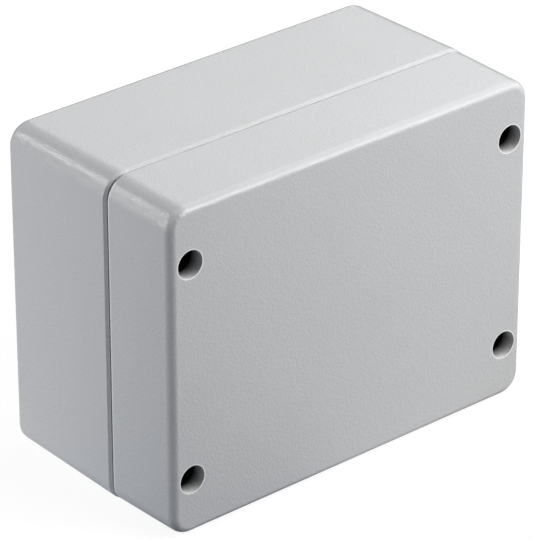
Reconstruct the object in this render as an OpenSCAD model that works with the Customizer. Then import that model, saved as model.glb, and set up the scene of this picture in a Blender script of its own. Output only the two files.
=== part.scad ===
// Die cast aluminium enclosure: a deep body and a deep lid, each cast in one piece, with a seal
// between them, four captive lid screws sunk in wells and an earth terminal inside.
// X runs along the width, Z up, and Y from the lid's face towards the wall behind the box.
// The origin is the centre of the back face. All sizes are in millimetres.

/* [Outside] */
// Width across the rim of the body
box_w = 129; // [120:1:170]
// Height across the rim of the body
box_h = 100; // [92:1:140]
// Depth of the body, from its back face to its rim
body_d = 43.5; // [36:0.5:70]
// Depth of the lid, from its rim to its face
lid_d = 25.7; // [22:0.1:40]
// Radius of the four corners, seen from the front
corner_r = 7; // [6:0.5:10]
// Radius of the edges round the lid's face
lid_edge_r = 2; // [1:0.2:3]
// Radius of the edges round the back face
back_edge_r = 2.6; // [1:0.2:3]
// Draft of the body's outer walls, in degrees
body_draft = 0.85; // [0.3:0.05:1.5]
// Draft of the lid's outer walls, in degrees
lid_draft = 1; // [0.3:0.05:1.5]

/* [Joint line] */
// Gap left between the two rims
rim_gap = 0.3; // [0.2:0.05:0.6]
// How far the body's rim stands out past the lid, on each side
rim_proud = 0.3; // [0.1:0.05:0.6]
// Height of the bevel that runs round the body's rim
bevel_d = 1.4; // [0.8:0.1:2]
// How far that bevel leans in
bevel_in = 0.55; // [0.4:0.05:1]

/* [Walls and seal] */
// Thickness of the side walls at the rim
wall_t = 5; // [4.8:0.1:6]
// Thickness of the back and of the lid's face
plate_t = 4; // [3:0.5:6]
// Draft of the inner walls, in degrees
inner_draft = 1; // [0.5:0.1:1.5]
// Width of each screw column, inwards from the rim
column_w = 16; // [15.5:0.5:18]
// Height of each screw column, inwards from the rim
column_h = 26; // [25:0.5:30]
// Width of the groove that holds the seal
groove_w = 2.4; // [2.2:0.1:2.8]
// Depth of that groove
groove_d = 2.8; // [2.4:0.1:4]
// Width of the tongue that bites into the seal
tongue_w = 1.3; // [1:0.1:1.6]
// Height of that tongue
tongue_h = 1.2; // [0.8:0.1:1.5]

/* [Lid screws] */
// Distance of the lid screws from the short sides
screw_edge_x = 7.5; // [7.5:0.5:8.5]
// Distance of the lid screws from the long sides
screw_edge_z = 17.5; // [17:0.5:20]
// Diameter of the wells in the lid
well_dia = 8.2; // [7.6:0.1:8.4]
// Thickness of the lid under each screw head
seat_t = 7; // [5:0.5:10]
// Diameter of the lid screws' thread
lid_thread = 4; // [3.5:0.5:4.5]
// Depth that each lid screw reaches into the body
screw_bite = 6.5; // [5:0.5:9]

/* [Fixings] */
// Distance of the wall fixing holes from both sides
wall_hole_edge = 7; // [7:0.5:8]
// Diameter of the wall fixing holes
wall_hole_dia = 4.8; // [4.2:0.1:5.4]
// Width between the board pillars' centres
pillar_gap_x = 76; // [60:2:80]
// Height between the board pillars' centres
pillar_gap_z = 56; // [40:2:66]
// Height of the board pillars above the floor
pillar_h = 7; // [5:0.5:12]

/* [Hidden] */
$fn = 64;

paint = [0.73, 0.74, 0.75];
steel = [0.72, 0.73, 0.74];
nylon = [0.92, 0.92, 0.88];
rubber = [0.13, 0.13, 0.14];

half_w = box_w / 2;
half_h = box_h / 2;
lid_rim_at = -body_d - rim_gap;
// How far a cutter runs past the face that it opens
over = 1;

// Foot of each outer wall: drawn in by, full size from, and goes on below
body_foot = [bevel_in, bevel_d, 0];
lid_foot = [0.2, 0.2, 0];
mouth = [0, 0, over];
// How far inside its rounding a leaning side ends, which gives the two a clean meeting line
hair = 0.002;

// Lid screws and wall fixings
screw_x = half_w - screw_edge_x;
screw_z = half_h - screw_edge_z;
fixing_x = screw_x;
fixing_z = half_h - wall_hole_edge;
corners = [[-1, 1], [1, 1], [1, -1], [-1, -1]];

// The chamber is a wide and a tall block that cross between the screw columns
chamber_w = box_w - 2 * wall_t;
chamber_h = box_h - 2 * wall_t;
column_x = half_w - column_w;
column_z = half_h - column_h;
chamber_r = 5;
column_r = 5;
floor_r = 2;
lip_w = 1.1;
tongue_out = lip_w + (groove_w - tongue_w) / 2;

// Seats and bores round the lid screws
pad_r = 5;
pad_h = rim_gap - 0.05;
shank_hole_r = lid_thread / 2 + 0.25;
tapped_r = lid_thread / 2;
tapped_d = screw_bite + 5.5;
washer_r = 3.5;
washer_t = 1;
washer_room = 0.2;
well_rim = 0.35;

// Cheese head screws
head_r = 3.5;
head_h = 2.6;
head_edge_r = 0.6;
slot_w = 1.2;
slot_d = 1.2;
neck_r = lid_thread / 2 - 0.45;
thread_r = lid_thread / 2 - 0.05;
point_h = 0.7;
loose = 0.05;

// Wall fixing wells, board pillars and earth terminal
fixing_well_r = 4.5;
fixing_seat_t = 6;
relief_r = 4;
relief_d = 12;
pillar_r = 3.6;
pillar_hole_r = 2;
pillar_hole_d = 8.5;
earth_at = [0, 33];
earth_boss_r = 5;
earth_boss_h = 4;
clamp_size = [10, 10, 1.2];
clamp_lip_h = 1;
clamp_lip_t = 0.9;
lock_washer_r = 3.8;
lock_washer_t = 0.9;

// Turns a part drawn upwards from the joint line so that it grows back from the body's rim
module from_body_rim() translate([0, -body_d, 0]) rotate([-90, 0, 0]) children();

// The same for the lid, which grows forwards from its own rim
module from_lid_rim() translate([0, lid_rim_at, 0]) rotate([90, 0, 0]) children();

// Rounds a length to a thousandth, so that parts that meet are drawn from the very same numbers
function grid(v) = round(v * 1000) / 1000;

// How far in from the foot the rounding at the top of a leaning side has its centre
function round_in(depth, lean, r, foot) = grid((depth - r - foot.y) * tan(lean) + r / cos(lean));

// Where the leaning side ends, seen from that centre, a hair inside the rounding
function side_end(lean, r) = [grid((r - hair) * cos(lean)), grid((r - hair) * sin(lean))];

// One leaning side, from its foot to the start of the flat top. The foot gives how far the
// bottom edge is drawn in, the height at which the full size is reached, and how far the
// side goes on below the plane.
function side_points(half, depth, lean, r, foot) =
    let (cx = half - round_in(depth, lean, r, foot), end = side_end(lean, r))
    [
        [half - foot.x, -foot.z],
        [half, foot.y],
        [cx + end.x, depth - r + end.y],
        [cx, depth]
    ];

// Section across a casting, the same on both sides
module full_section(half, depth, lean, r, foot) {
    right = side_points(half, depth, lean, r, foot);
    left = [for (i = [len(right) - 1:-1:0]) [-right[i].x, right[i].y]];
    cx = half - round_in(depth, lean, r, foot);
    polygon(concat(right, left));
    for (side = [-1, 1]) translate([side * cx, depth - r]) circle(r);
}

// The same section from the middle of a round corner outwards
module corner_section(corner, depth, lean, r, foot) {
    right = side_points(corner, depth, lean, r, foot);
    polygon(concat([[0, -foot.z]], right, [[0, depth]]));
    translate([corner - round_in(depth, lean, r, foot), depth - r]) circle(r);
}

// A block with leaning walls, round corners and a rounded edge at its top
module drafted_block(w, h, depth, corner, lean, r, foot) {
    rotate([90, 0, 90]) linear_extrude(height = w - 2 * corner, center = true)
        full_section(h / 2, depth, lean, r, foot);
    rotate([90, 0, 0]) linear_extrude(height = h - 2 * corner, center = true)
        full_section(w / 2, depth, lean, r, foot);
    for (c = corners) translate([c.x * (w / 2 - corner), c.y * (h / 2 - corner), 0])
        rotate_extrude() corner_section(corner, depth, lean, r, foot);
}

// Room that rounds the upright edge of one screw column, with the same sweep into the floor
module column_edge(depth) {
    sweep_x = column_r + round_in(depth, inner_draft, floor_r, mouth);
    end = side_end(inner_draft, floor_r);
    translate([column_x + column_r, column_z + column_r, 0]) difference() {
        translate([-column_r - 3, -column_r - 3, -over])
            cube([column_r + 3, column_r + 3, depth + over]);
        rotate_extrude() difference() {
            polygon([
                [0, -2 * over], [column_r, -2 * over], [column_r, 0],
                [sweep_x - end.x, depth - floor_r + end.y],
                [sweep_x, depth - floor_r], [sweep_x, depth + over], [0, depth + over]
            ]);
            translate([sweep_x, depth - floor_r]) circle(floor_r);
        }
    }
}

// The hollow of a casting, which leaves the four screw columns standing
module chamber(depth) {
    drafted_block(chamber_w, 2 * column_z, depth, chamber_r, inner_draft, floor_r, mouth);
    drafted_block(2 * column_x, chamber_h, depth, chamber_r, inner_draft, floor_r, mouth);
    for (side = [0, 1], level = [0, 1])
        mirror([side, 0, 0]) mirror([0, level, 0]) column_edge(depth);
}

module round_rectangle(w, h, r) {
    square([w - 2 * r, h], center = true);
    square([w, h - 2 * r], center = true);
    for (c = corners) translate([c.x * (w / 2 - r), c.y * (h / 2 - r)]) circle(r);
}

// Outline that runs round the chamber's mouth at a given distance from it
module seal_outline(away) {
    round_rectangle(chamber_w + 2 * away, 2 * (column_z + away), chamber_r + away);
    round_rectangle(2 * (column_x + away), chamber_h + 2 * away, chamber_r + away);
    for (c = corners) translate([c.x * (column_x + column_r), c.y * (column_z + column_r)])
        difference() {
            translate([-c.x * column_r / 2, -c.y * column_r / 2]) square(column_r, center = true);
            circle(column_r - away);
        }
}

module seal_ring(inner, outer, height) {
    linear_extrude(height) difference() {
        seal_outline(outer);
        seal_outline(inner);
    }
}

module at_lid_screws() for (c = corners) translate([c.x * screw_x, c.y * screw_z, 0]) children();

module at_wall_fixings() for (c = corners) translate([c.x * fixing_x, c.y * fixing_z, 0]) children();

module at_pillars() for (c = corners)
    translate([c.x * pillar_gap_x / 2, c.y * pillar_gap_z / 2, 0]) children();

// A blind hole that goes up from the plane it is drawn on, with the cone that the drill leaves
module drilled(r, depth) {
    translate([0, 0, -over]) cylinder(h = depth + over, r = r);
    translate([0, 0, depth]) cylinder(h = r * 0.6, r1 = r, r2 = 0);
}

module body_casting() {
    floor_at = body_d - plate_t;
    color(paint) from_body_rim() difference() {
        union() {
            difference() {
                drafted_block(box_w, box_h, body_d, corner_r, body_draft, back_edge_r, body_foot);
                chamber(floor_at);
            }
            translate([0, 0, -tongue_h])
                seal_ring(tongue_out, tongue_out + tongue_w, tongue_h + over);
            at_lid_screws() translate([0, 0, -pad_h]) cylinder(h = pad_h + over, r = pad_r);
            at_pillars() translate([0, 0, floor_at - pillar_h])
                cylinder(h = pillar_h + over, r1 = pillar_r, r2 = pillar_r + 0.4);
            translate([earth_at.x, earth_at.y, floor_at - earth_boss_h])
                cylinder(h = earth_boss_h + over, r1 = earth_boss_r, r2 = earth_boss_r + 0.3);
        }
        at_lid_screws() translate([0, 0, -pad_h]) drilled(tapped_r, tapped_d + pad_h);
        at_wall_fixings() {
            translate([0, 0, -over]) cylinder(h = body_d + 2 * over, r = wall_hole_dia / 2);
            translate([0, 0, -over]) cylinder(h = body_d - fixing_seat_t + over, r = fixing_well_r);
        }
        at_pillars() translate([0, 0, floor_at - pillar_h]) drilled(pillar_hole_r, pillar_hole_d);
        translate([earth_at.x, earth_at.y, floor_at - earth_boss_h])
            drilled(tapped_r, earth_boss_h + 2);
    }
}

module lid_casting() {
    color(paint) from_lid_rim() difference() {
        drafted_block(
            box_w - 2 * rim_proud, box_h - 2 * rim_proud, lid_d,
            corner_r - rim_proud, lid_draft, lid_edge_r, lid_foot
        );
        chamber(lid_d - plate_t);
        translate([0, 0, -over]) seal_ring(lip_w, lip_w + groove_w, groove_d + over);
        at_lid_screws() {
            translate([0, 0, -over]) cylinder(h = lid_d + over, r = shank_hole_r);
            translate([0, 0, -over])
                cylinder(h = washer_t + washer_room + over, r = washer_r + washer_room);
            translate([0, 0, seat_t]) cylinder(h = lid_d, r = well_dia / 2);
            translate([0, 0, lid_d - well_rim])
                cylinder(h = well_rim + 0.01, r1 = well_dia / 2, r2 = well_dia / 2 + well_rim);
        }
        at_wall_fixings() translate([0, 0, -over]) cylinder(h = relief_d + over, r = relief_r);
    }
}

// Rubber cord that lies in the lid's groove, with its face just clear of the tongue
module seal() {
    seal_face = tongue_h - rim_gap + loose;
    color(rubber) from_lid_rim() translate([0, 0, seal_face])
        seal_ring(lip_w, lip_w + groove_w, groove_d - seal_face);
}

// Slotted cheese head with its underside at zero and its top upwards
module cheese_head() {
    difference() {
        rotate_extrude() {
            square([head_r, head_h - head_edge_r]);
            square([head_r - head_edge_r, head_h]);
            translate([head_r - head_edge_r, head_h - head_edge_r]) circle(head_edge_r);
        }
        translate([-head_r - over, -slot_w / 2, head_h - slot_d])
            cube([2 * (head_r + over), slot_w, slot_d + over]);
    }
}

module lid_screw(c) {
    neck_l = seat_t + loose;
    tip = seat_t + loose + rim_gap + screw_bite;
    color(steel) from_lid_rim() translate([c.x * screw_x, c.y * screw_z, seat_t + loose]) {
        cheese_head();
        translate([0, 0, -neck_l]) cylinder(h = neck_l + 0.5, r = neck_r);
        translate([0, 0, -tip + point_h]) cylinder(h = tip - point_h - neck_l, r = thread_r);
        translate([0, 0, -tip]) cylinder(h = point_h, r1 = thread_r - point_h, r2 = thread_r);
    }
}

module retaining_washer(c) {
    color(nylon) from_lid_rim() translate([c.x * screw_x, c.y * screw_z, washer_room])
        difference() {
            cylinder(h = washer_t, r = washer_r);
            translate([0, 0, -over]) cylinder(h = washer_t + 2 * over, r = neck_r + 0.1);
        }
}

// Everything of the earth terminal is stacked on its boss and drawn upwards from there
module on_earth_boss() translate([earth_at.x, plate_height(), -earth_at.y]) rotate([90, 0, 0])
    children();
function plate_height() = -plate_t - earth_boss_h;

module earth_clamp() {
    color(steel) on_earth_boss() difference() {
        union() {
            translate([-clamp_size.x / 2, -clamp_size.y / 2, 0]) cube(clamp_size);
            for (left = [-clamp_size.x / 2, clamp_size.x / 2 - clamp_lip_t])
                translate([left, -clamp_size.y / 2, 0])
                    cube([clamp_lip_t, clamp_size.y, clamp_size.z + clamp_lip_h]);
        }
        translate([0, 0, -over]) cylinder(h = 4 * over + clamp_size.z, r = tapped_r + 0.2);
    }
}

module earth_lock_washer() {
    color(steel) on_earth_boss() translate([0, 0, clamp_size.z]) difference() {
        cylinder(h = lock_washer_t, r = lock_washer_r);
        translate([0, 0, -over]) cylinder(h = lock_washer_t + 2 * over, r = tapped_r + 0.1);
    }
}

module earth_screw() {
    stack = clamp_size.z + lock_washer_t;
    color(steel) on_earth_boss() translate([0, 0, stack]) {
        cheese_head();
        translate([0, 0, -stack - 5]) cylinder(h = stack + 5 + 0.5, r = thread_r);
    }
}

body_casting();
lid_casting();
seal();
lid_screw(corners[0]);  // lid_screw_1
lid_screw(corners[1]);  // lid_screw_2
lid_screw(corners[2]);  // lid_screw_3
lid_screw(corners[3]);  // lid_screw_4
retaining_washer(corners[0]);  // retaining_washer_1
retaining_washer(corners[1]);  // retaining_washer_2
retaining_washer(corners[2]);  // retaining_washer_3
retaining_washer(corners[3]);  // retaining_washer_4
earth_screw();
earth_clamp();
earth_lock_washer();
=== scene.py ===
import math
import bmesh
import bpy
from mathutils import Matrix, Vector


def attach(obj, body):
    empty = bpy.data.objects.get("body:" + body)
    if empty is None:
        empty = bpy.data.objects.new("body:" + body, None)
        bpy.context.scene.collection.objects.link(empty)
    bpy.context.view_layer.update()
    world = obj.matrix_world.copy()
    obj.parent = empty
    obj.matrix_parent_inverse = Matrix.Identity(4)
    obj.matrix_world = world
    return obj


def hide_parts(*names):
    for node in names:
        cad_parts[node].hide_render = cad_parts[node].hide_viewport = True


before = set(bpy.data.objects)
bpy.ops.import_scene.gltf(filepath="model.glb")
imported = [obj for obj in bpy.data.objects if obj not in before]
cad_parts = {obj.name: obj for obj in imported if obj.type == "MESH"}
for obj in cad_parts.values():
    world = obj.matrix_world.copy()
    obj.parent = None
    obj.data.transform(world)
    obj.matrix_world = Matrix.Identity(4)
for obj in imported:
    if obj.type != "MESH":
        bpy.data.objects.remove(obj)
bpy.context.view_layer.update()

mm = 0.001
weld = 0.002 * mm  # points closer than this become one
print("frame loaded with", len(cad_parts), "nodes")


class Wire:
    # one socket of a node tree, so that nodes can be written as expressions
    def __init__(self, tree, socket=None):
        self.tree = tree
        self.socket = socket

    def node(self, kind, settings=None, inputs=None, output=0):
        made = self.tree.nodes.new(kind)
        for name, value in (settings or {}).items():
            setattr(made, name, value)
        for name, value in (inputs or {}).items():
            if isinstance(value, Wire):
                self.tree.links.new(value.socket, made.inputs[name])
            else:
                made.inputs[name].default_value = value
        return Wire(self.tree, made.outputs[output] if len(made.outputs) else None)

    def __getitem__(self, name):
        return Wire(self.tree, self.socket.node.outputs[name])

    def maths(self, operation, first, second=0.0):
        return self.node("ShaderNodeMath", {"operation": operation}, {0: first, 1: second})

    def __add__(self, other):
        return self.maths("ADD", self, other)

    def __sub__(self, other):
        return self.maths("SUBTRACT", self, other)

    def __rsub__(self, other):
        return self.maths("SUBTRACT", other, self)

    def __mul__(self, other):
        return self.maths("MULTIPLY", self, other)

    def __truediv__(self, other):
        return self.maths("DIVIDE", self, other)

    def __rtruediv__(self, other):
        return self.maths("DIVIDE", other, self)

    def __gt__(self, other):
        return self.maths("GREATER_THAN", self, other)

    def __lt__(self, other):
        return self.maths("LESS_THAN", self, other)

    __radd__ = __add__
    __rmul__ = __mul__


def limited(value):
    # keeps a value between 0 and 1
    return value.node("ShaderNodeClamp", {}, {"Value": value})


def mixed(amount, first, second):
    # the two colours, the second one by the amount
    return amount.node("ShaderNodeMix", {"data_type": "RGBA"}, {0: amount, 6: first, 7: second}, 2)


def objectPlace(web):
    return web.node("ShaderNodeTexCoord", {}, {}, "Object")


def noise(place, scale, detail):
    return place.node("ShaderNodeTexNoise", {}, {"Vector": place, "Scale": scale, "Detail": detail})


def painted(web, name):
    # a number that the mesh carries at its points
    return web.node("ShaderNodeAttribute", {"attribute_name": name}, {}, "Fac")


def bumped(height, strength, depth):
    return height.node("ShaderNodeBump", {}, {
        "Strength": strength, "Distance": depth * mm, "Height": height})


def vectorMaths(web, operation, inputs, output="Vector"):
    return web.node("ShaderNodeVectorMath", {"operation": operation}, inputs, output)


def vectorOf(web, axes):
    return web.node("ShaderNodeCombineXYZ", {}, axes)


def newMaterial(name):
    material = bpy.data.materials.new(name)
    material.use_nodes = True
    material.node_tree.nodes.clear()
    return material, Wire(material.node_tree)


def finishMaterial(web, settings):
    shader = web.node("ShaderNodeBsdfPrincipled", {}, settings)
    web.node("ShaderNodeOutputMaterial", {}, {"Surface": shader})


# the box's outline at the body's rim and its depths from the back face, all in mm
box = {"halfWidth": 64.5, "halfHeight": 50, "corner": 7, "lidInset": 0.3}
bodyFloor, bodyRim = 4, 43.5
lidFoot, lidFloor, lidFace = 43.8, 65.5, 69.5
threadPitch = 0.7  # of every screw and tapped hole

# the materials, all of them on object coordinates, where a scale is a number of waves to the metre
coat = {
    "colour": (0.575, 0.58, 0.589, 1),
    "tone": 0.05,  # how far the colour wanders
    "peelShare": 0.9, "cloudShare": 0.5, "fineShare": 0.5,  # and what makes it wander
    "thinColour": (0.92, 0.92, 0.92, 1),  # a pale colour for a painted highlight on edges, and for the paler cut metal round the wells
    "mouthColour": (0.8, 0.8, 0.81, 1),  # the bored metal inside them
    "sunkColour": (0.012, 0.012, 0.014, 1),  # and the painted shadow that it darkens to
    "sunkStart": 0.8, "sunkFade": 4.0,  # how deep the painted shadow begins and how fast it deepens, mm
    "bareColour": (0.62, 0.62, 0.63, 1),  # the metal of the tapped holes
    "pitch": 0.7,  # orange peel, mm
    "height": 0.12,  # its depth, mm
    "fineness": 2.6,  # how many times finer the grain on it is
    "fineHeight": 0.28, "threadHeight": 1.2,  # depths of grain and thread against the peel's
    "cloudScale": 38.0,
    "roughness": 0.24,
    "roughSpread": 0.12, "bareShine": 0.06,  # how far the grain and bare metal change that
}

# one in four of the cells has a dot, dark or pale
specks = {
    "scale": 62.0,
    "size": 0.022, "edge": 90.0,  # half width of a dot in cells, and how sharp it is
    "darkFrom": 0.86, "darkAmount": 0.7, "darkColour": (0.12, 0.12, 0.125, 1),
    "paleFrom": 0.9, "paleAmount": 0.5, "paleColour": (0.85, 0.85, 0.85, 1),
}


def makeCoat():
    c, s = coat, specks
    material, web = newMaterial("powderCoat")
    place = objectPlace(web)
    peel = noise(place, 1 / (c["pitch"] * mm), 1.5)
    fine = noise(place, c["fineness"] / (c["pitch"] * mm), 1.0)
    cloud = noise(place, c["cloudScale"], 2.0)
    shade = limited(0.5 + (peel - 0.5) * c["peelShare"] + (cloud - 0.5) * c["cloudShare"]
                    + (fine - 0.5) * c["fineShare"])
    low = [part * (1 - c["tone"]) for part in c["colour"][:3]] + [1]
    high = [part * (1 + c["tone"]) for part in c["colour"][:3]] + [1]
    colour = mixed(shade, low, high)
    cells = web.node("ShaderNodeTexVoronoi", {}, {"Vector": place, "Scale": s["scale"]})
    chance = web.node("ShaderNodeSeparateColor", {}, {"Color": cells["Color"]})
    dot = limited((s["size"] - cells["Distance"]) * s["edge"])
    dark = dot * (chance["Red"] > s["darkFrom"])
    pale = dot * (chance["Green"] > s["paleFrom"])
    colour = mixed(dark * s["darkAmount"], colour, s["darkColour"])
    colour = mixed(pale * s["paleAmount"], colour, s["paleColour"])
    bare = painted(web, "bare")
    # pale round the well rims, partly cut metal and partly a painted highlight, and a painted
    # highlight on the lid foot's edge
    colour = mixed(limited(painted(web, "rim")), colour, c["thinColour"])
    # painted shadow: the bored metal darkens with depth down the wells, and the gap under the lid
    # is painted near black
    depth = web.node("ShaderNodeSeparateXYZ", {}, {"Vector": place})["Y"]
    deep = limited((depth + (lidFace - c["sunkStart"]) * mm) / (c["sunkFade"] * mm))
    metal = mixed(deep, c["mouthColour"], c["sunkColour"])
    colour = mixed(painted(web, "sunk"), colour, metal)
    colour = mixed(bare, colour, c["bareColour"])
    # the tapped holes show the turns of their thread
    turns = web.maths("SINE", depth * (2 * math.pi / (threadPitch * mm)))
    height = (peel + fine * c["fineHeight"]) * (1 - bare) + turns * bare * c["threadHeight"]
    finishMaterial(web, {
        "Base Color": colour,
        "Roughness": limited(c["roughness"] + (fine - 0.5) * c["roughSpread"]
                             - bare * c["bareShine"]),
        "Metallic": bare,
        "Normal": bumped(height, 1.0, c["height"]),
    })
    return material


steel = {
    "dull": (0.52, 0.52, 0.53, 1), "bright": (0.7, 0.7, 0.7, 1), "stainScale": 420.0,
    "lineScale": 9000.0, "lineStretch": 0.12, "lineDepth": 0.004,  # turning marks, depth in mm
    "roughness": 0.27, "roughSpread": 0.25,
}


def makeSteel():
    s = steel
    material, web = newMaterial("turnedStainlessSteel")
    place = objectPlace(web)
    stretched = web.node("ShaderNodeMapping", {}, {
        "Vector": place, "Scale": (1.0, s["lineStretch"], 1.0)})
    stain = noise(place, s["stainScale"], 2.0)
    finishMaterial(web, {
        "Base Color": mixed(stain, s["dull"], s["bright"]),
        "Roughness": limited(s["roughness"] + (stain - 0.5) * s["roughSpread"]),
        "Metallic": 1.0,
        "Normal": bumped(noise(stretched, s["lineScale"], 2.0), 0.5, s["lineDepth"]),
    })
    return material


nylon = {
    "dark": (0.74, 0.73, 0.65, 1), "pale": (0.84, 0.83, 0.77, 1), "scale": 700.0,
    "depth": 0.02,  # of its uneven surface, mm
    "roughness": 0.42, "roughSpread": 0.12,
}


def makeNylon():
    n = nylon
    material, web = newMaterial("naturalNylon")
    cloud = noise(objectPlace(web), n["scale"], 2.0)
    finishMaterial(web, {
        "Base Color": mixed(cloud, n["dark"], n["pale"]),
        "Roughness": n["roughness"] + cloud * n["roughSpread"],
        "Normal": bumped(cloud, 0.4, n["depth"]),
    })
    return material


rubber = {
    "dark": (0.012, 0.012, 0.013, 1), "bloom": (0.036, 0.036, 0.038, 1), "bloomScale": 140.0,
    "grainScale": 2600.0, "grainDepth": 0.02,  # depth in mm
    "roughness": 0.5, "roughSpread": 0.2,
}


def makeRubber():
    r = rubber
    material, web = newMaterial("sealRubber")
    place = objectPlace(web)
    bloom = noise(place, r["bloomScale"], 3.0)
    finishMaterial(web, {
        "Base Color": mixed(bloom, r["dark"], r["bloom"]),
        "Roughness": r["roughness"] + bloom * r["roughSpread"],
        "Normal": bumped(noise(place, r["grainScale"], 2.0), 0.5, r["grainDepth"]),
    })
    return material


coatMaterial = makeCoat()
steelMaterial = makeSteel()
nylonMaterial = makeNylon()
rubberMaterial = makeRubber()
print("materials made")


# outlines and sections are written in mm
def arc(centre, radius, start, end, steps):
    angles = [math.radians(start + (end - start) * i / steps) for i in range(steps + 1)]
    return [(centre[0] + radius * math.cos(a), centre[1] + radius * math.sin(a)) for a in angles]


def roundedOutline(halfWidth, halfHeight, radius, steps=14):
    points = []
    for quarter, (sx, sz) in enumerate(((1, 1), (-1, 1), (-1, -1), (1, -1))):
        centre = (sx * (halfWidth - radius), sz * (halfHeight - radius))
        points += arc(centre, radius, 90 * quarter, 90 * quarter + 90, steps)
    return points


def circleOutline(radius, steps=48):
    return arc((0, 0), radius, 0, 360, steps)[:-1]


chamber = {
    "endX": 59.5, "endZ": 24.0,  # half sizes of the wide block
    "topX": 48.5, "topZ": 45.0,  # half sizes of the tall block
    "corner": 5.0, "column": 5.0,
}


def chamberOutline(away=0.0, steps=9):
    c = chamber
    corner, column = c["corner"] + away, c["column"] - away
    quarter = arc((c["endX"] - c["corner"], c["endZ"] - c["corner"]), corner, 0, 90, steps)
    quarter += arc((c["topX"] + c["column"], c["endZ"] + c["column"]), column, 270, 180, steps)
    quarter += arc((c["topX"] - c["corner"], c["topZ"] - c["corner"]), corner, 0, 90, steps)
    mirrored = [(-x, z) for x, z in reversed(quarter)]
    lower = [(-x, -z) for x, z in quarter + mirrored]
    return quarter + mirrored + lower


def softened(points, fine=15, coarse=30, last=9):
    # an open line in which each point (across, forward, radius) is rounded by its radius, in steps
    # of fine or coarse degrees, or by a quarter of an ellipse where it has a pair of lengths, one
    # for each side of the corner
    line = []
    for i, (x, y, radius) in enumerate(points):
        if radius == 0:
            line.append((x, y))
            continue
        here = Vector((x, y))
        back = (Vector(points[i - 1][:2]) - here).normalized()
        ahead = (Vector(points[(i + 1) % len(points)][:2]) - here).normalized()
        if isinstance(radius, tuple):
            ends = (here + back * radius[0], here, here + ahead * radius[1])
            for k in range(last + 1):
                t = k / last
                shares = ((1 - t) ** 2, math.sqrt(2) * t * (1 - t), t ** 2)
                point = sum((share * end for share, end in zip(shares, ends)), Vector((0, 0)))
                point /= sum(shares)
                line.append((point.x, point.y))
            continue
        half = back.angle(ahead) / 2
        centre = here + (back + ahead).normalized() * radius / math.sin(half)
        first = here + back * radius / math.tan(half) - centre
        sweep = first.angle_signed(here + ahead * radius / math.tan(half) - centre)
        steps = max(2, math.ceil(abs(math.degrees(sweep)) / (fine if radius > 1 else coarse)))
        for k in range(steps + 1):
            point = centre + Matrix.Rotation(-sweep * k / steps, 2) @ first
            line.append((point.x, point.y))
    return line


def lineMesh(name, points, closed):
    mesh = bpy.data.meshes.new(name)
    edges = [(i, i + 1) for i in range(len(points) - 1)]
    if closed:
        edges.append((len(points) - 1, 0))
    mesh.from_pydata(points, edges, [])
    return mesh


def helperObject(name, points, closed=False):
    # a path or a set of places that a tree reads, removed again once the pieces are made
    flat = [(x * mm, z * mm, 0) for x, z in points]
    piece = bpy.data.objects.new(name, lineMesh(name, flat, closed))
    bpy.context.scene.collection.objects.link(piece)
    return piece


def newTree(name, sockets):
    tree = bpy.data.node_groups.new(name, "GeometryNodeTree")
    tree.interface.new_socket(name="Geometry", in_out="INPUT", socket_type="NodeSocketGeometry")
    for label, kind in sockets.items():
        tree.interface.new_socket(name=label, in_out="INPUT", socket_type="NodeSocket" + kind)
    tree.interface.new_socket(name="Geometry", in_out="OUTPUT", socket_type="NodeSocketGeometry")
    web = Wire(tree)
    return web, web.node("NodeGroupInput")


def sweep(web, given):
    # the section runs along the path, square to it, and points of one place are merged
    shape = web.node("GeometryNodeObjectInfo", {}, {"Object": given["Path"]}, "Geometry")
    path = web.node("GeometryNodeMeshToCurve", {}, {"Mesh": shape})
    path = web.node("GeometryNodeSetCurveNormal", {"mode": "Z_UP"}, {"Curve": path})
    section = web.node("GeometryNodeMeshToCurve", {}, {"Mesh": given["Geometry"]})
    wall = web.node("GeometryNodeCurveToMesh", {}, {"Curve": path, "Profile Curve": section})
    return web.node("GeometryNodeMergeByDistance", {}, {"Geometry": wall, "Distance": weld})


def moved(web, shape, place):
    return web.node("GeometryNodeTransform", {}, {"Geometry": shape, "Translation": place})


def finishTree(web, given, shape):
    # stands the shape up, so that its height points out of the lid
    stood = web.node("GeometryNodeTransform", {}, {
        "Geometry": shape, "Rotation": (math.pi / 2, 0, 0)})
    real = web.node("GeometryNodeRealizeInstances", {}, {"Geometry": stood})
    coated = web.node("GeometryNodeSetMaterial", {}, {
        "Geometry": real, "Material": given["Material"]})
    web.node("NodeGroupOutput", {}, {"Geometry": coated})
    return web.tree


def sweptWallTree():
    web, given = newTree("sweptWall", {
        "Path": "Object", "Places": "Object", "Material": "Material"})
    places = web.node("GeometryNodeObjectInfo", {}, {"Object": given["Places"]}, "Geometry")
    walls = web.node("GeometryNodeInstanceOnPoints", {}, {
        "Points": places, "Instance": sweep(web, given)})
    return finishTree(web, given, walls)


threadForm = {"flank": 1.3, "runOut": 1.6}  # how steep its flanks and its two ends are


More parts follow.
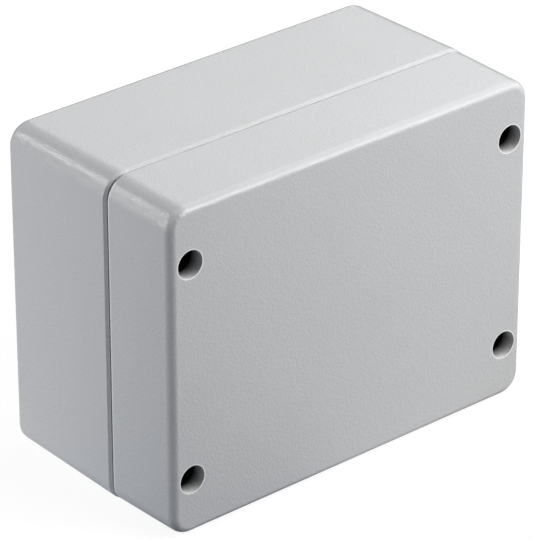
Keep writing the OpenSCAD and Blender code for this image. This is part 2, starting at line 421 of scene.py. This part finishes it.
def slottedScrewTree():
    web, given = newTree("slottedScrew", {
        "Path": "Object", "Slot Length": "Float", "Slot Width": "Float", "Slot Depth": "Float",
        "Head Top": "Float", "Pitch": "Float", "Thread Depth": "Float", "Thread Low": "Float",
        "Thread High": "Float", "Turn": "Float", "Place": "Vector", "Material": "Material"})
    blank = sweep(web, given)
    at = web.node("ShaderNodeSeparateXYZ", {}, {"Vector": web.node("GeometryNodeInputPosition")})
    x, y, z = at["X"], at["Y"], at["Z"]
    angle = web.maths("ARCTAN2", y, x) / (2 * math.pi)
    phase = web.maths("FRACT", z / given["Pitch"] - angle)
    flank = limited(web.maths("ABSOLUTE", phase * 2.0 - 1.0) * threadForm["flank"])
    runIn = limited((z - given["Thread Low"]) / given["Pitch"] * threadForm["runOut"])
    runOut = limited((given["Thread High"] - z) / given["Pitch"] * threadForm["runOut"])
    cut = (1.0 - flank) * runIn * runOut * given["Thread Depth"]
    outward = vectorMaths(web, "NORMALIZE", {0: vectorOf(web, {"X": x, "Y": y})})
    inward = vectorMaths(web, "SCALE", {0: outward, "Scale": cut * -1.0})
    threaded = web.node("GeometryNodeSetPosition", {}, {"Geometry": blank, "Offset": inward})
    # the driver slot is milled across the head, by a cutter twice as high as the slot is deep
    size = vectorOf(web, {
        "X": given["Slot Length"], "Y": given["Slot Width"], "Z": given["Slot Depth"] * 2.0})
    cutter = web.node("GeometryNodeMeshCube", {}, {"Size": size})
    cutter = moved(web, cutter, vectorOf(web, {"Z": given["Head Top"]}))
    slotted = web.node("GeometryNodeMeshBoolean", {"operation": "DIFFERENCE", "solver": "EXACT"}, {
        "Mesh 1": threaded, "Mesh 2": cutter})
    placed = web.node("GeometryNodeTransform", {}, {
        "Geometry": slotted, "Translation": given["Place"],
        "Rotation": vectorOf(web, {"Z": given["Turn"]})})
    return finishTree(web, given, placed)


def toothedWasherTree():
    web, given = newTree("toothedWasher", {
        "Path": "Object", "Teeth": "Int", "Tooth Circle": "Float", "Tooth Length": "Float",
        "Tooth Width": "Float", "Thickness": "Float", "Twist": "Float", "Height": "Float",
        "Place": "Vector", "Material": "Material"})
    ring = sweep(web, given)
    circle = web.node("GeometryNodeMeshCircle", {}, {
        "Vertices": given["Teeth"], "Radius": given["Tooth Circle"]})
    tooth = web.node("GeometryNodeMeshCube", {}, {"Size": vectorOf(web, {
        "X": given["Tooth Length"], "Y": given["Tooth Width"], "Z": given["Thickness"]})})
    step = web.node("GeometryNodeInputIndex") * (2 * math.pi) / given["Teeth"]
    teeth = web.node("GeometryNodeInstanceOnPoints", {}, {
        "Points": circle, "Instance": tooth,
        "Rotation": vectorOf(web, {"X": given["Twist"], "Z": step})})
    teeth = moved(web, teeth, vectorOf(web, {"Z": given["Height"]}))
    both = web.node("GeometryNodeJoinGeometry", {}, {"Geometry": ring})
    web.tree.links.new(teeth.socket, both.socket.node.inputs[0])
    return finishTree(web, given, moved(web, both, given["Place"]))


sweptWall = sweptWallTree()
slottedScrew = slottedScrewTree()
toothedWasher = toothedWasherTree()
middle = helperObject("middle", [(0, 0)])
helpers = [middle]
print("geometry trees made")


def plainMesh(piece):
    # the piece as its modifiers leave it
    return bpy.data.meshes.new_from_object(
        piece.evaluated_get(bpy.context.evaluated_depsgraph_get()))


def grow(tree, name, section, closed=False, **values):
    # runs a tree on a section of (across, forward) points and gives back a plain mesh
    points = [(across * mm, -forward * mm, 0) for across, forward in section]
    piece = bpy.data.objects.new(name, lineMesh(name, points, closed))
    bpy.context.scene.collection.objects.link(piece)
    modifier = piece.modifiers.new("Tree", "NODES")
    modifier.node_group = tree
    for item in tree.interface.items_tree:
        label = item.name.replace(" ", "")
        if item.in_out == "INPUT" and label in values:
            modifier[item.identifier] = values[label]
    mesh = plainMesh(piece)
    bpy.data.objects.remove(piece)
    mesh.name = name
    return mesh


# the swept walls of one casting are gathered in a shell, and flat faces close it
def addWalls(shell, path, section, places=None):
    pathObject = helperObject("path", path, True)
    placeObject = helperObject("places", places) if places else middle
    mesh = grow(sweptWall, "wall", softened(section), Path=pathObject, Places=placeObject,
                Material=coatMaterial)
    shell.from_mesh(mesh)
    helpers.extend([pathObject] + ([placeObject] if places else []))


def openLoops(shell, forward):
    # the open edges at one depth, gathered into loops, the widest first
    level, near = -forward * mm, 0.001 * mm
    edges = {edge for edge in shell.edges if edge.is_boundary
             and all(abs(vertex.co.y - level) < near for vertex in edge.verts)}
    loops = []
    while edges:
        loop, waiting = [], [edges.pop()]
        while waiting:
            edge = waiting.pop()
            loop.append(edge)
            for vertex in edge.verts:
                for other in vertex.link_edges:
                    if other in edges:
                        edges.remove(other)
                        waiting.append(other)
        loops.append(loop)
    return sorted(loops, key=spread, reverse=True)


def spread(loop):
    across = [vertex.co.x for edge in loop for vertex in edge.verts]
    return max(across) - min(across)


def fillBetween(shell, loops, facing):
    edges = [edge for loop in loops for edge in loop]
    bmesh.ops.triangle_fill(shell, use_beauty=True, edges=edges, normal=(0, facing, 0))


def finishCasting(shell, name, body, node):
    bmesh.ops.remove_doubles(shell, verts=shell.verts, dist=weld)
    bmesh.ops.recalc_face_normals(shell, faces=shell.faces)
    openEdges = sum(not edge.is_manifold for edge in shell.edges)
    print(name, "open edges:", openEdges, "faces:", len(shell.faces))
    mesh = bpy.data.meshes.new(name)
    shell.to_mesh(mesh)
    shell.free()
    mesh.materials.clear()
    mesh.materials.append(coatMaterial)
    for polygon in mesh.polygons:
        polygon.material_index = 0
    return finishPiece(mesh, name, body, node)


def finishPiece(mesh, name, body, node, sharp=38):
    mesh.polygons.foreach_set("use_smooth", [True] * len(mesh.polygons))
    mesh.set_sharp_from_angle(angle=math.radians(sharp))
    piece = bpy.data.objects.new(name, mesh)
    bpy.context.scene.collection.objects.link(piece)
    modifier = piece.modifiers.new("Shading", "WEIGHTED_NORMAL")
    modifier.keep_sharp = True
    done = plainMesh(piece)
    piece.modifiers.clear()
    piece.data = done
    done.name = name
    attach(piece, body)
    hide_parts(node)
    return piece


screwPlaces = [(-57, 32.5), (57, 32.5), (57, -32.5), (-57, -32.5)]
fixingPlaces = [(-57, 43), (57, 43), (57, -43), (-57, -43)]
pillarPlaces = [(-38, 28), (38, 28), (38, -28), (-38, -28)]
earthPlace = (0, -33)

# sections are lists of (across, forward, radius), where across is measured from the outline
bodyParts = {
    # from the rim over the bevel and the leaning wall to the back, with a point on the bevel
    # where its painted shade ends
    "outside": [(-1.3, bodyRim, 0), (-1.05, bodyRim, 0), (-0.8, bodyRim, 0.08),
                (-0.67, 43.35375, 0), (0, 42.6, 0.35), (-0.6246, 0, 2.6), (-3.9, 0, 0)],
    "chamber": [(0.5, bodyRim, 0), (0, bodyRim, 0.35), (-0.6895, bodyFloor, 2.0),
                (-3.4, bodyFloor, 0)],
    "tongue": [(1.35, bodyRim, 0), (1.65, bodyRim, 0.12), (1.7, 44.7, 0.3), (2.9, 44.7, 0.3),
               (2.95, bodyRim, 0.12), (3.15, bodyRim, 0)],
    # painted shade, near black, where the bevel goes under the lid
    "dirt": {"value": 0.85, "depths": (43.4, 43.6), "insets": (0.7, 0.95)},
    # where holes are tapped after the coat is on: places, radius and depths
    "tapped": [(screwPlaces, 2.4, 30, 43.6), (pillarPlaces, 2.4, 1, 11.1),
               ([earthPlace], 4.8, 1, 8.1)],
}

# radius, places and section of each
bodyRounds = {
    "pad": (5, screwPlaces, [
        (0.12, bodyRim, 0), (0, bodyRim, 0.05), (-0.03, 43.75, 0.1), (-2.65, 43.75, 0.06),
        (-3.0, 43.4, 0.06), (-3.0, 31.75, 0), (-5.0, 30.55, 0)]),
    "fixingWell": (4.5, fixingPlaces, [
        (0.35, bodyRim, 0), (0, bodyRim, 0.25), (0, 6, 0.4), (-2.1, 6, 0.2), (-2.1, 0, 0.2),
        (-1.7, 0, 0)]),
    "pillar": (3.6, pillarPlaces, [
        (1.4, bodyFloor, 0), (0.4, bodyFloor, 0.7), (0, 11, 0.25), (-1.25, 11, 0.06),
        (-1.6, 10.65, 0.06), (-1.6, 2.5, 0), (-3.6, 1.3, 0)]),
    "boss": (5, [earthPlace], [
        (1.4, bodyFloor, 0), (0.3, bodyFloor, 0.7), (0, 8, 0.3), (-2.7, 8, 0.06),
        (-3.0, 7.7, 0.06), (-3.0, 2.0, 0), (-5.0, 0.8, 0)]),
    "pinMark": (3, [(-18, 12), (18, 12), (-18, -13), (18, -13), (-50, 0), (50, 0), (-14, 37),
                    (14, 37)], [
        (0.2, bodyFloor, 0), (0, bodyFloor, 0.06), (-0.06, 3.86, 0.04), (-3.0, 3.86, 0)]),
}


def addRounds(shell, rounds):
    for radius, places, section in rounds.values():
        addWalls(shell, circleOutline(radius), section, places)


def closeRim(shell, forward, facing):
    loops = openLoops(shell, forward)
    # the third and the fourth bound the strip between the chamber and the tongue or groove
    fillBetween(shell, loops[2:4], facing)
    fillBetween(shell, loops[:2] + loops[4:], facing)


def makeBody():
    parts = bodyParts
    shell = bmesh.new()
    outline = roundedOutline(box["halfWidth"], box["halfHeight"], box["corner"])
    addWalls(shell, outline, parts["outside"])
    addWalls(shell, chamberOutline(), parts["chamber"])
    addWalls(shell, chamberOutline(), parts["tongue"])
    addRounds(shell, bodyRounds)
    closeRim(shell, bodyRim, -1)
    fillBetween(shell, openLoops(shell, 0), 1)
    fillBetween(shell, openLoops(shell, bodyFloor), -1)
    piece = finishCasting(shell, "bodyShell", "body", "body_casting")
    for places, radius, low, high in parts["tapped"]:
        markRound(piece.data, "bare", places, radius, low, high)
    # painted shade in the gap where the bevel goes under the lid
    markEdge(piece.data, "sunk", box["corner"], **parts["dirt"])


lidParts = {
    # from inside the foot over its rounded edge and up to the elliptic edge of the face
    "outside": [(-0.9, lidFoot, 0), (-0.8, 44.2, 0), (0, 44.2, 0.35), (-0.0131, 44.95, 0),
                (-0.4451, lidFace, (2.6, 2.15)), (-2.66, lidFace, 0)],
    "chamber": [(0.4, lidFoot, 0), (0, lidFoot, 0.3), (-0.3788, lidFloor, 2.0),
                (-3.0, lidFloor, 0)],
    "groove": [(0.8, lidFoot, 0), (1.1, lidFoot, 0.15), (1.1, 46.6, 0.15), (3.5, 46.6, 0.15),
               (3.5, lidFoot, 0.12), (3.68, lidFoot, 0)],
    # a painted highlight round the foot's outer edge
    "thinEdge": {"value": 0.9, "depths": (44.1, 44.7), "insets": (-1, 0.5)},
    # the wells' cut rims, pale partly as cut metal and partly as a painted highlight, and their
    # bored walls, which darken into painted shadow: radius and depths
    "wellRim": (4.4, 69.4, 69.6),
    "wellWall": (4.15, 50.7, 69.25),
}

lidRounds = {
    # from the face down the well, past the seat and the shank hole to the washer's recess
    "screwWell": (4.1, screwPlaces, [
        (0.4, lidFace, 0), (0.24, lidFace, 0), (0.05, lidFace, 0), (0, 69.45, 0), (0, 69.2, 0),
        (0, 50.8, 0.15), (-1.85, 50.8, 0.12), (-1.85, 45.0, 0.1), (-0.4, 45.0, 0.1),
        (-0.4, lidFoot, 0.1), (-0.2, lidFoot, 0)]),
    "relief": (4, fixingPlaces, [
        (0.2, lidFoot, 0), (0, lidFoot, 0.15), (0, 55.8, 0.6), (-4.0, 55.8, 0)]),
    "pinMark": (3, [(-50, 0), (50, 0), (-20, 30), (20, 30), (-20, -30), (20, -30), (0, 0)], [
        (0.2, lidFloor, 0), (0, lidFloor, 0.06), (-0.06, 65.64, 0.04), (-3.0, 65.64, 0)]),
}


def makeLid():
    parts = lidParts
    shell = bmesh.new()
    halfWidth, halfHeight, corner = (
        box[name] - box["lidInset"] for name in ("halfWidth", "halfHeight", "corner"))
    addWalls(shell, roundedOutline(halfWidth, halfHeight, corner), parts["outside"])
    addWalls(shell, chamberOutline(), parts["chamber"])
    addWalls(shell, chamberOutline(), parts["groove"])
    addRounds(shell, lidRounds)
    closeRim(shell, lidFoot, 1)
    fillBetween(shell, openLoops(shell, lidFace), -1)
    fillBetween(shell, openLoops(shell, lidFloor), 1)
    piece = finishCasting(shell, "lidShell", "lid", "lid_casting")
    # pale rims: partly cut metal, partly a painted highlight
    markRound(piece.data, "rim", screwPlaces, *parts["wellRim"])
    # painted shadow: the bored walls darken with depth
    markRound(piece.data, "sunk", screwPlaces, *parts["wellWall"])
    # a painted highlight round the foot's outer edge
    markEdge(piece.data, "rim", corner, **parts["thinEdge"])


def paintedOn(mesh, name):
    return mesh.attributes.get(name) or mesh.attributes.new(name, "FLOAT", "POINT")


def markRound(mesh, name, places, radius, low, high):
    # what lies near these axes and between these depths gets the attribute, which the coat reads
    attribute = paintedOn(mesh, name)
    for vertex in mesh.vertices:
        across, forward, up = vertex.co.x / mm, -vertex.co.y / mm, vertex.co.z / mm
        if low < forward < high and any(
                math.hypot(across - x, up - z) < radius for x, z in places):
            attribute.data[vertex.index].value = 1.0


topEdge = 48.4  # above this height, in mm, the edges get no painted shade or highlight


def markEdge(mesh, name, corner, value, depths, insets):
    # what lies between these depths and these distances in from the outline gets the attribute
    attribute = paintedOn(mesh, name)
    for vertex in mesh.vertices:
        x, y, z = (abs(c) / mm for c in vertex.co)
        beyondX = max(x - (box["halfWidth"] - box["corner"]), 0)
        beyondZ = max(z - (box["halfHeight"] - box["corner"]), 0)
        inset = corner - math.hypot(beyondX, beyondZ)
        if (depths[0] < y < depths[1] and insets[0] < inset < insets[1]
                and vertex.co.z / mm < topEdge):
            attribute.data[vertex.index].value = value


makeBody()
print("body made")
makeLid()
print("lid made")

seal = {
    "away": 2.3,  # from the chamber's wall, mm
    # rubber that has taken the tongue's mark: a flat valley between two low swells
    "section": [(-1.16, 46.58), (-1.19, 46.4), (-1.19, 44.9), (-1.1, 44.58), (-0.92, 44.5),
                (-0.76, 44.6), (-0.68, 44.75), (0.68, 44.75), (0.76, 44.6), (0.92, 44.5),
                (1.1, 44.58), (1.19, 44.9), (1.19, 46.4), (1.16, 46.58)],
}


def makeSeal():
    path = helperObject("sealPath", chamberOutline(seal["away"]), True)
    helpers.append(path)
    mesh = grow(sweptWall, "sealCord", seal["section"], True, Path=path, Places=middle,
                Material=rubberMaterial)
    turnedOutward(mesh)
    finishPiece(mesh, "sealCord", "lid", "seal")


def turnedOutward(mesh):
    shape = bmesh.new()
    shape.from_mesh(mesh)
    bmesh.ops.recalc_face_normals(shape, faces=shape.faces)
    shape.to_mesh(mesh)
    shape.free()


makeSeal()
print("seal made")

# what the lid screws and the earth screw share, mm
screwForm = {
    "pathRadius": 2.0, "sides": 40,  # of the circle that the sections run round
    "head": 3.5, "neck": 1.55, "thread": 1.95,  # radii
    "headHeight": 2.6, "headEdge": 0.55, "headUnder": 0.18,  # and how round its two edges are
    "neckTaper": 0.4,
    "pitch": threadPitch, "threadDepth": 0.36, "stepsPerTurn": 8,
    "aboveTip": 0.35, "belowNeck": 0.3,  # how far from these the thread ends
    # where there is no neck: from the head's top to the thread, and plain below the head
    "noNeck": 3.2, "plain": 0.5,
    "point": 0.7, "pointIn": 0.6,  # length of the tip's cone and how far it goes in
    "slotLength": 12.0, "slotWidth": 1.2, "slotDepth": 1.2,
    "sharp": 32,  # corners sharper than this, in degrees, aren't shaded round
}
lidScrew = {"headTop": 53.45, "neckEnd": 43.8, "tip": 37.0, "turns": (18, -37, 64, -8)}
earthScrew = {"headTop": 12.7, "neckEnd": None, "tip": 3.0, "turn": 28}


def screwSection(plan):
    s = screwForm
    tip, neckEnd, under = plan["tip"], plan["neckEnd"], plan["headTop"] - s["headHeight"]
    points = [(0, plan["headTop"], 0), (s["head"], plan["headTop"], s["headEdge"]),
              (s["head"], under, s["headUnder"])]
    if neckEnd:
        top = neckEnd - s["neckTaper"]
        points += [(s["neck"], under, 0.2), (s["neck"], neckEnd, 0.1), (s["thread"], top, 0)]
    else:
        top = under - s["plain"]
        points += [(s["thread"], under, 0.15)]
    length = top - tip - s["point"]
    steps = round(length / (s["pitch"] / s["stepsPerTurn"]))
    points += [(s["thread"], top - length * i / steps, 0) for i in range(1, steps + 1)]
    points += [(s["thread"] - s["pointIn"], tip, 0), (0, tip, 0)]
    return [(r - s["pathRadius"], forward) for r, forward in softened(points)]


def makeScrew(name, body, node, place, turn, plan):
    s = screwForm
    threadHigh = (plan["neckEnd"] or plan["headTop"] - s["noNeck"]) - s["belowNeck"]
    mesh = grow(slottedScrew, name, screwSection(plan), Path=screwPath,
                SlotLength=s["slotLength"] * mm, SlotWidth=s["slotWidth"] * mm,
                SlotDepth=s["slotDepth"] * mm, HeadTop=plan["headTop"] * mm,
                Pitch=s["pitch"] * mm, ThreadDepth=s["threadDepth"] * mm,
                ThreadLow=(plan["tip"] + s["aboveTip"]) * mm, ThreadHigh=threadHigh * mm,
                Turn=math.radians(turn), Place=(place[0] * mm, place[1] * mm, 0.0),
                Material=steelMaterial)
    turnedOutward(mesh)
    finishPiece(mesh, name, body, node, s["sharp"])


screwPath = helperObject(
    "screwPath", circleOutline(screwForm["pathRadius"], screwForm["sides"]), True)
helpers.append(screwPath)
for number, (place, turn) in enumerate(zip(screwPlaces, lidScrew["turns"]), 1):
    makeScrew(f"lidScrew{number}", f"screw_{number}", f"lid_screw_{number}", place, turn, lidScrew)
makeScrew("earthScrew", "body", "earth_screw", earthPlace, earthScrew["turn"], earthScrew)
print("screws made")

washer = {"outer": 3.5, "inner": 1.65, "low": 44.0, "middle": 44.5, "high": 45.0}


def makeWashers():
    w = washer
    ring = softened([(w["inner"], w["middle"], 0), (w["inner"], w["high"], 0.12),
                     (w["outer"], w["high"], 0.2), (w["outer"], w["low"], 0.2),
                     (w["inner"], w["low"], 0.12)])
    section = [(r - screwForm["pathRadius"], forward) for r, forward in ring]
    for number, place in enumerate(screwPlaces, 1):
        spot = helperObject("spot", [place])
        helpers.append(spot)
        mesh = grow(sweptWall, f"nylonWasher{number}", section, True, Path=screwPath,
                    Places=spot, Material=nylonMaterial)
        turnedOutward(mesh)
        finishPiece(mesh, f"nylonWasher{number}", "lid", f"retaining_washer_{number}")


toothed = {
    "inner": 2.15, "outer": 2.95, "thickness": 0.45, "edge": 0.05,
    "low": 9.2, "rise": 0.45,  # the seat of its teeth, and how far above it the ring's middle is
    "tip": 3.75, "root": 0.2,  # how far out the teeth reach, and how far into the ring
    "teeth": 9, "toothWidth": 1.0, "twist": 24,
}


def makeToothedWasher():
    t = toothed
    centre = t["low"] + t["rise"]
    high, low = centre + t["thickness"] / 2, centre - t["thickness"] / 2
    ring = softened([(t["inner"], centre, 0), (t["inner"], high, t["edge"]),
                     (t["outer"], high, t["edge"]), (t["outer"], low, t["edge"]),
                     (t["inner"], low, t["edge"])])
    section = [(r - screwForm["pathRadius"], forward) for r, forward in ring]
    mesh = grow(toothedWasher, "toothedWasher", section, True, Path=screwPath, Teeth=t["teeth"],
                ToothCircle=(t["tip"] + t["outer"]) / 2 * mm - t["root"] / 2 * mm,
                ToothLength=(t["tip"] - t["outer"] + t["root"]) * mm,
                ToothWidth=t["toothWidth"] * mm, Thickness=t["thickness"] * mm,
                Twist=math.radians(t["twist"]), Height=centre * mm,
                Place=(earthPlace[0] * mm, earthPlace[1] * mm, 0.0), Material=steelMaterial)
    turnedOutward(mesh)
    finishPiece(mesh, "toothedWasher", "body", "earth_lock_washer")


# corners sharper than this, in degrees, are bevelled, and faces closer than that are one
clamp = {"bevel": 0.15, "segments": 2, "sharp": 40, "flat": 1}


def makeClamp():
    # the solid's own mesh, merged, with its edges broken
    shape = bmesh.new()
    shape.from_mesh(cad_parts["earth_clamp"].data)
    bmesh.ops.remove_doubles(shape, verts=shape.verts, dist=weld)
    bmesh.ops.dissolve_limit(
        shape, angle_limit=math.radians(clamp["flat"]), verts=shape.verts, edges=shape.edges)
    mesh = bpy.data.meshes.new("earthClamp")
    shape.to_mesh(mesh)
    shape.free()
    mesh.materials.clear()
    mesh.materials.append(steelMaterial)
    piece = bpy.data.objects.new("clampBlank", mesh)
    bpy.context.scene.collection.objects.link(piece)
    bevel = piece.modifiers.new("Edges", "BEVEL")
    bevel.width = clamp["bevel"] * mm
    bevel.segments = clamp["segments"]
    bevel.limit_method = "ANGLE"
    bevel.angle_limit = math.radians(clamp["sharp"])
    done = plainMesh(piece)
    bpy.data.objects.remove(piece)
    finishPiece(done, "earthClamp", "body", "earth_clamp")


makeWashers()
makeToothedWasher()
makeClamp()
for helper in helpers:
    bpy.data.objects.remove(helper)
print("washers and clamp made")

stage = {
    "level": -50.0, "gap": 0.05,  # height of the floor, and how far it lies below that, mm
    "reach": 3.0,  # m
    "paper": 0.86, "shadowShare": 0.2, "white": 1.1,  # as the camera sees it
    "middle": (0, 0.035, 0.05),  # from the floor under the box's middle to the origin, m
    "lobe": 6.0, "fade": 6.0,  # how narrow each direction's glow is, and how fast it fades
}

# the box sees the floor as a pool of light, dim towards the camera: direction and colour
glow = {
    "rearLeft": ((-0.707, 0.707, 0), (0.55, 0.55, 0.55)),
    "left": ((-1, 0, 0), (0.29, 0.32, 0.37)),
    "corner": ((-0.707, -0.707, 0), (0.05, 0.06, 0.08)),
    "front": ((0, -1, 0), (0.275, 0.29, 0.315)),
    "frontRight": ((0.707, -0.707, 0), (0.35, 0.345, 0.335)),
}


def makeFloor():
    mesh = bpy.data.meshes.new("floor")
    reach, level = stage["reach"], (stage["level"] - stage["gap"]) * mm
    mesh.from_pydata([(-reach, -reach, level), (reach, -reach, level), (reach, reach, level),
                      (-reach, reach, level)], [], [(0, 1, 2, 3)])
    floor = bpy.data.objects.new("floor", mesh)
    bpy.context.scene.collection.objects.link(floor)
    material, web = newMaterial("paper")
    seen = web.node("ShaderNodeLightPath")
    paper = web.node("ShaderNodeBsdfDiffuse", {}, {"Color": (stage["paper"],) * 3 + (1,)})
    white = web.node("ShaderNodeEmission", {}, {
        "Color": (1, 1, 1, 1), "Strength": stage["white"]})
    shown = web.node("ShaderNodeMixShader", {}, {0: stage["shadowShare"], 1: white, 2: paper})
    place = vectorMaths(web, "ADD", {0: objectPlace(web), 1: stage["middle"]})
    way = vectorMaths(web, "NORMALIZE", {0: place})
    far = vectorMaths(web, "LENGTH", {0: place}, "Value")
    light = (0, 0, 0)
    for direction, colour in glow.values():
        facing = limited(vectorMaths(web, "DOT_PRODUCT", {0: way, 1: direction}, "Value"))
        share = web.maths("POWER", facing, stage["lobe"]) / (1.0 + far * far * stage["fade"])
        light = vectorMaths(web, "MULTIPLY_ADD", {0: share, 1: colour, 2: light})
    lit = web.node("ShaderNodeEmission", {}, {"Color": light})
    both = web.node("ShaderNodeMixShader", {}, {0: seen["Is Camera Ray"], 1: lit, 2: shown})
    web.node("ShaderNodeOutputMaterial", {}, {"Surface": both})
    mesh.materials.append(material)


room = {"mirrored": 0.0, "fill": 0.02}  # how much of the white room the box mirrors and gets


def makeRoom():
    world = bpy.data.worlds.new("room")
    bpy.context.scene.world = world
    world.use_nodes = True
    world.node_tree.nodes.clear()
    web = Wire(world.node_tree)
    seen = web.node("ShaderNodeLightPath")
    camera, glossy = seen["Is Camera Ray"], seen["Is Glossy Ray"]
    rest = 1.0 - camera - glossy
    sky = web.node("ShaderNodeBackground", {}, {
        "Color": (1, 1, 1, 1),
        "Strength": camera + glossy * room["mirrored"] + rest * room["fill"]})
    web.node("ShaderNodeOutputWorld", {}, {"Surface": sky})


lampAim = (0, -0.035, 0)  # m
lamps = {
    # name: direction from the box, distance and size in m, power in W, colour
    "key": ((0.571, -0.471, 0.672), 0.8, 0.55, 2.45, (1, 1, 0.995)),
    "over": ((0.571, 0.171, 0.803), 0.8, 0.45, 1.6, (1, 1, 1)),
    "rearRight": ((0.571, 0.672, 0.471), 0.8, 0.45, 0.89, (1, 1, 1)),
    "right": ((0.8, -0.45, 0.45), 0.42, 0.2, 0.33, (1, 1, 1)),
    "front": ((0.3, -0.8, 0.5), 0.6, 0.3, 2.3, (1, 1, 1)),
    "streak": ((-0.534, 0.672, 0.513), 0.9, 0.2, 1.5, (1, 1, 1)),
    "left": ((-0.9, 0.35, 0.25), 0.45, 0.25, 0.9, (0.99, 0.995, 1.01)),
}


def makeLamps():
    for name, (direction, distance, size, power, colour) in lamps.items():
        data = bpy.data.lights.new(name, "AREA")
        data.shape = "SQUARE"
        data.size, data.energy, data.color = size, power, colour
        lamp = bpy.data.objects.new(name, data)
        way = Vector(direction).normalized()
        lamp.location = Vector(lampAim) + way * distance
        lamp.rotation_euler = way.to_track_quat("Z", "Y").to_euler()
        bpy.context.scene.collection.objects.link(lamp)


# fitted to the photograph's outline: aim and distance in mm, and the way it is turned
cameraPlan = {
    "aim": (-0.956, -35.524, -2.263), "distance": 1094.2,
    "lens": 262.84, "sensor": 36,
    "near": 0.05, "far": 20,  # m
    "right": (0.76183, -0.64778, 0.0),
    "up": (0.30518, 0.35891, 0.88207),
    "back": (-0.57139, -0.67198, 0.47112),
}


def makeCamera():
    c = cameraPlan
    data = bpy.data.cameras.new("camera")
    data.lens, data.sensor_width, data.sensor_fit = c["lens"], c["sensor"], "HORIZONTAL"
    data.clip_start, data.clip_end = c["near"], c["far"]
    camera = bpy.data.objects.new("camera", data)
    turn = Matrix((c["right"], c["up"], c["back"])).transposed()
    place = Vector(c["aim"]) * mm + Vector(c["back"]) * c["distance"] * mm
    camera.matrix_world = Matrix.Translation(place) @ turn.to_4x4()
    bpy.context.scene.collection.objects.link(camera)
    bpy.context.scene.camera = camera


makeFloor()
makeRoom()
makeLamps()
makeCamera()
bpy.context.scene.view_settings.view_transform = "Standard"
print("floor, lamps and camera made")
